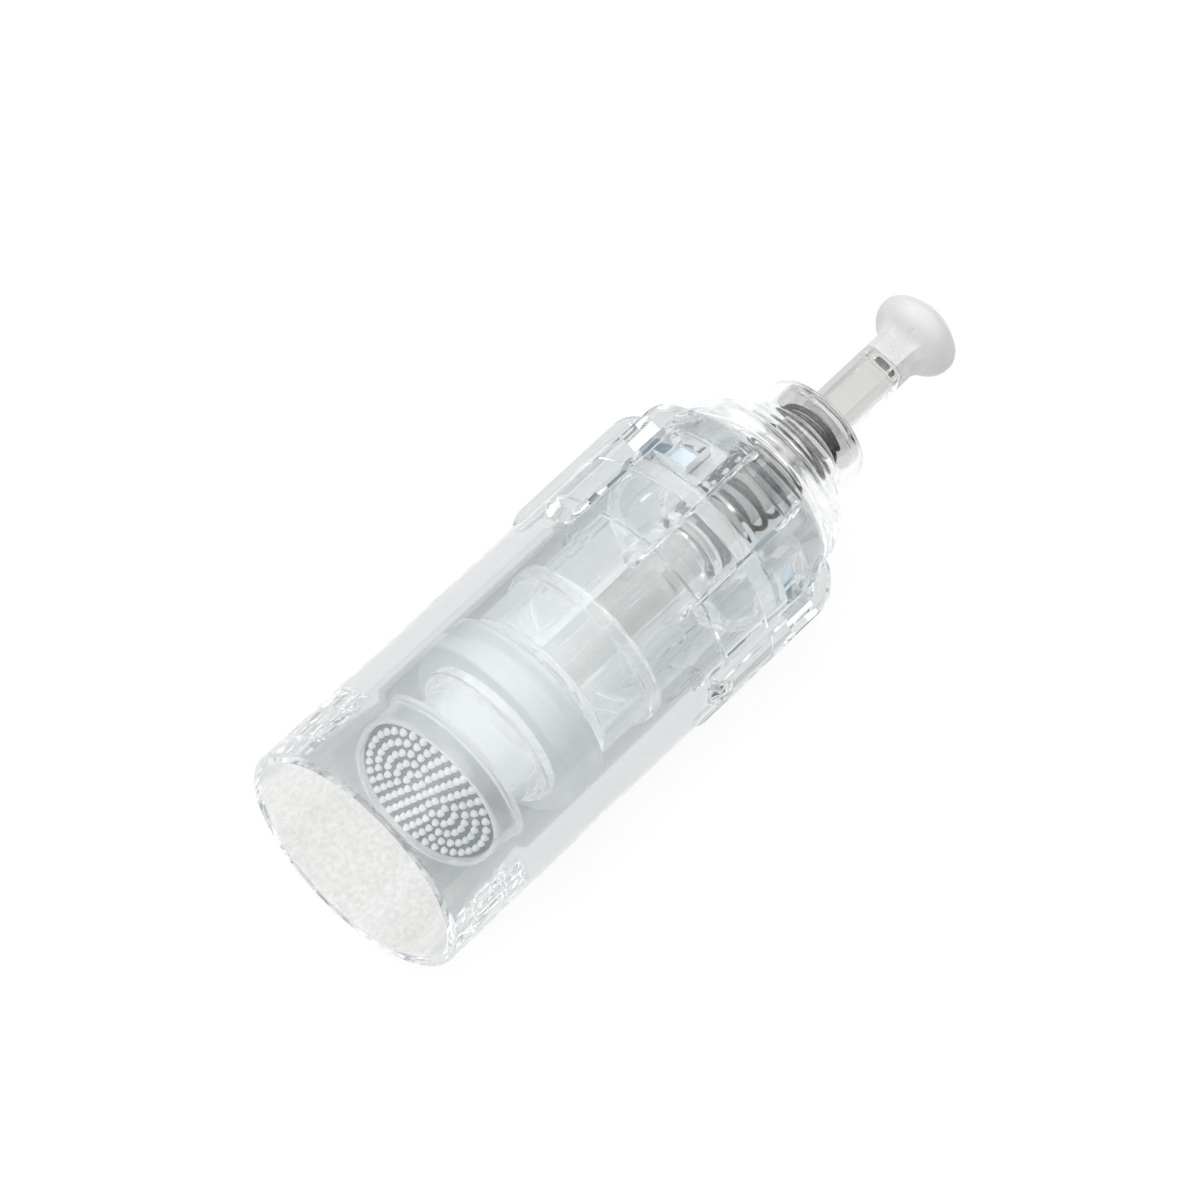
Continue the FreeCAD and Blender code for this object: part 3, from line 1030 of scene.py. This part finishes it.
studio = {
    "floorSize": 1.2,
    "floorColor": (0.1, 0.1, 0.1),
    "floorRoughness": 0.9,
    "floorGlow": 0.85,
    "glowEnds": (0.15, 0.45),   # where the floor's glow starts to fade and is gone, in metres
    "skyLow": (0.42, 0.435, 0.45),
    "skyHigh": (1.9, 1.9, 1.9),
    "skyEnds": (0.1, 0.9),
    # soft light and dark areas of the sky: direction, where each fades in and is full, and how much it adds
    "areas": (
        dict(towards=(-0.13, 0.53, 0.82), fade=(0.9, 0.97), adds=1.6),
        dict(towards=(0.75, -0.2, 0.6), fade=(0.95, 0.985), adds=2.0),
        dict(towards=(0.6, -0.8, 0.05), fade=(0.25, 0.9), adds=-0.38),
    ),
    "keyLight": dict(place=(-0.15, -0.05, 0.5), aim=(0.02, 0, 0), size=(0.12, 0.3), power=0.25),
}


def makeFloor():
    # pale floor that glows round the piece and fades out far from it
    bm = bmesh.new()
    bmesh.ops.create_grid(bm, x_segments=8, y_segments=8, size=studio["floorSize"])
    mesh = bpy.data.meshes.new("floor")
    bm.to_mesh(mesh)
    bm.free()
    floor = bpy.data.objects.new("floor", mesh)
    floor.location = (0.02, 0, cadBox[0].z)
    scene.collection.objects.link(floor)
    material, tree, shader = newMaterial("paleFloor")
    shader.inputs["Base Color"].default_value = (*studio["floorColor"], 1)
    shader.inputs["Roughness"].default_value = studio["floorRoughness"]
    shader.inputs["Emission Color"].default_value = (1, 1, 1, 1)
    place = addNode(tree, "ShaderNodeTexCoord")
    distance = addNode(tree, "ShaderNodeVectorMath", operation="LENGTH")
    tree.links.new(place.outputs["Object"], distance.inputs[0])
    glow = spread(tree, distance.outputs["Value"], studio["glowEnds"], (studio["floorGlow"], 0.0))
    tree.links.new(glow, shader.inputs["Emission Strength"])
    mesh.materials.append(material)


def makeSky():
    world = bpy.data.worlds.new("studio")
    scene.world = world
    world.use_nodes = True
    tree = world.node_tree
    background = tree.nodes["Background"]
    place = addNode(tree, "ShaderNodeTexCoord")
    split = addNode(tree, "ShaderNodeSeparateXYZ")
    tree.links.new(place.outputs["Generated"], split.inputs["Vector"])
    color = blend(tree, split.outputs["Z"], studio["skyEnds"], studio["skyLow"], studio["skyHigh"])
    for area in studio["areas"]:
        facing = addNode(tree, "ShaderNodeVectorMath", operation="DOT_PRODUCT")
        facing.inputs[1].default_value = Vector(area["towards"]).normalized()
        tree.links.new(place.outputs["Generated"], facing.inputs[0])
        patch = spread(tree, facing.outputs["Value"], area["fade"], (0.0, area["adds"]),
                       interpolation_type="SMOOTHSTEP")
        total = addNode(tree, "ShaderNodeVectorMath", operation="ADD")
        tree.links.new(color, total.inputs[0])
        tree.links.new(patch, total.inputs[1])
        color = total.outputs["Vector"]
    tree.links.new(color, background.inputs["Color"])
    background.inputs["Strength"].default_value = 1.0


def makeSoftbox(name, place, aim, size, power):
    lamp = bpy.data.lights.new(name, "AREA")
    lamp.shape = "RECTANGLE"
    lamp.size, lamp.size_y = size
    lamp.energy = power
    softbox = bpy.data.objects.new(name, lamp)
    softbox.location = place
    softbox.rotation_euler = (Vector(aim) - Vector(place)).to_track_quat("-Z", "Y").to_euler()
    scene.collection.objects.link(softbox)


view = {
    "azimuth": -53.5,
    "elevation": 59.34,
    "roll": 6.3,
    "lens": 200.0,
    "sensor": 36.0,
    "middle": (0.0225, 0, 0),   # the camera's distance is measured from here, in metres
    "frame": 62.34,             # width of the picture there, in millimetres
    "right": 12.50,             # the middle of the picture, in millimetres from the mouth's centre
    "up": 13.25,
}


def makeCamera():
    # from above the mouth end, with the cartridge's axis running up to the right
    az, el, roll = (math.radians(view[k]) for k in ("azimuth", "elevation", "roll"))
    back = Vector((math.sin(az) * math.cos(el), -math.cos(az) * math.cos(el), math.sin(el)))
    right = Vector((math.cos(az), math.sin(az), 0.0))
    up = back.cross(right)
    rightTurned = right * math.cos(roll) + up * math.sin(roll)
    upTurned = up * math.cos(roll) - right * math.sin(roll)
    camera = bpy.data.objects.new("camera", bpy.data.cameras.new("camera"))
    camera.data.lens, camera.data.sensor_width = view["lens"], view["sensor"]
    middle = Vector(view["middle"])
    aim = (rightTurned * view["right"] + upTurned * view["up"]) * mm
    aim += back * (middle - aim).dot(back)
    distance = view["frame"] * mm * view["lens"] / view["sensor"]
    camera.matrix_world = Matrix.Translation(aim + back * distance) @ Matrix(
        (rightTurned, upTurned, back)).transposed().to_4x4()
    camera.data.clip_start, camera.data.clip_end = 0.01, 10
    scene.collection.objects.link(camera)
    scene.camera = camera


makeFloor()
makeSky()
makeSoftbox("keyLight", **studio["keyLight"])
makeCamera()

scene.view_settings.view_transform = "Standard"
scene.cycles.max_bounces = 80
scene.cycles.transmission_bounces = 40
scene.cycles.transparent_max_bounces = 16
scene.cycles.glossy_bounces = 60
scene.cycles.blur_glossy = 0.0
scene.cycles.diffuse_bounces = 4
scene.cycles.sample_clamp_indirect = 6.0
print("scene ready")
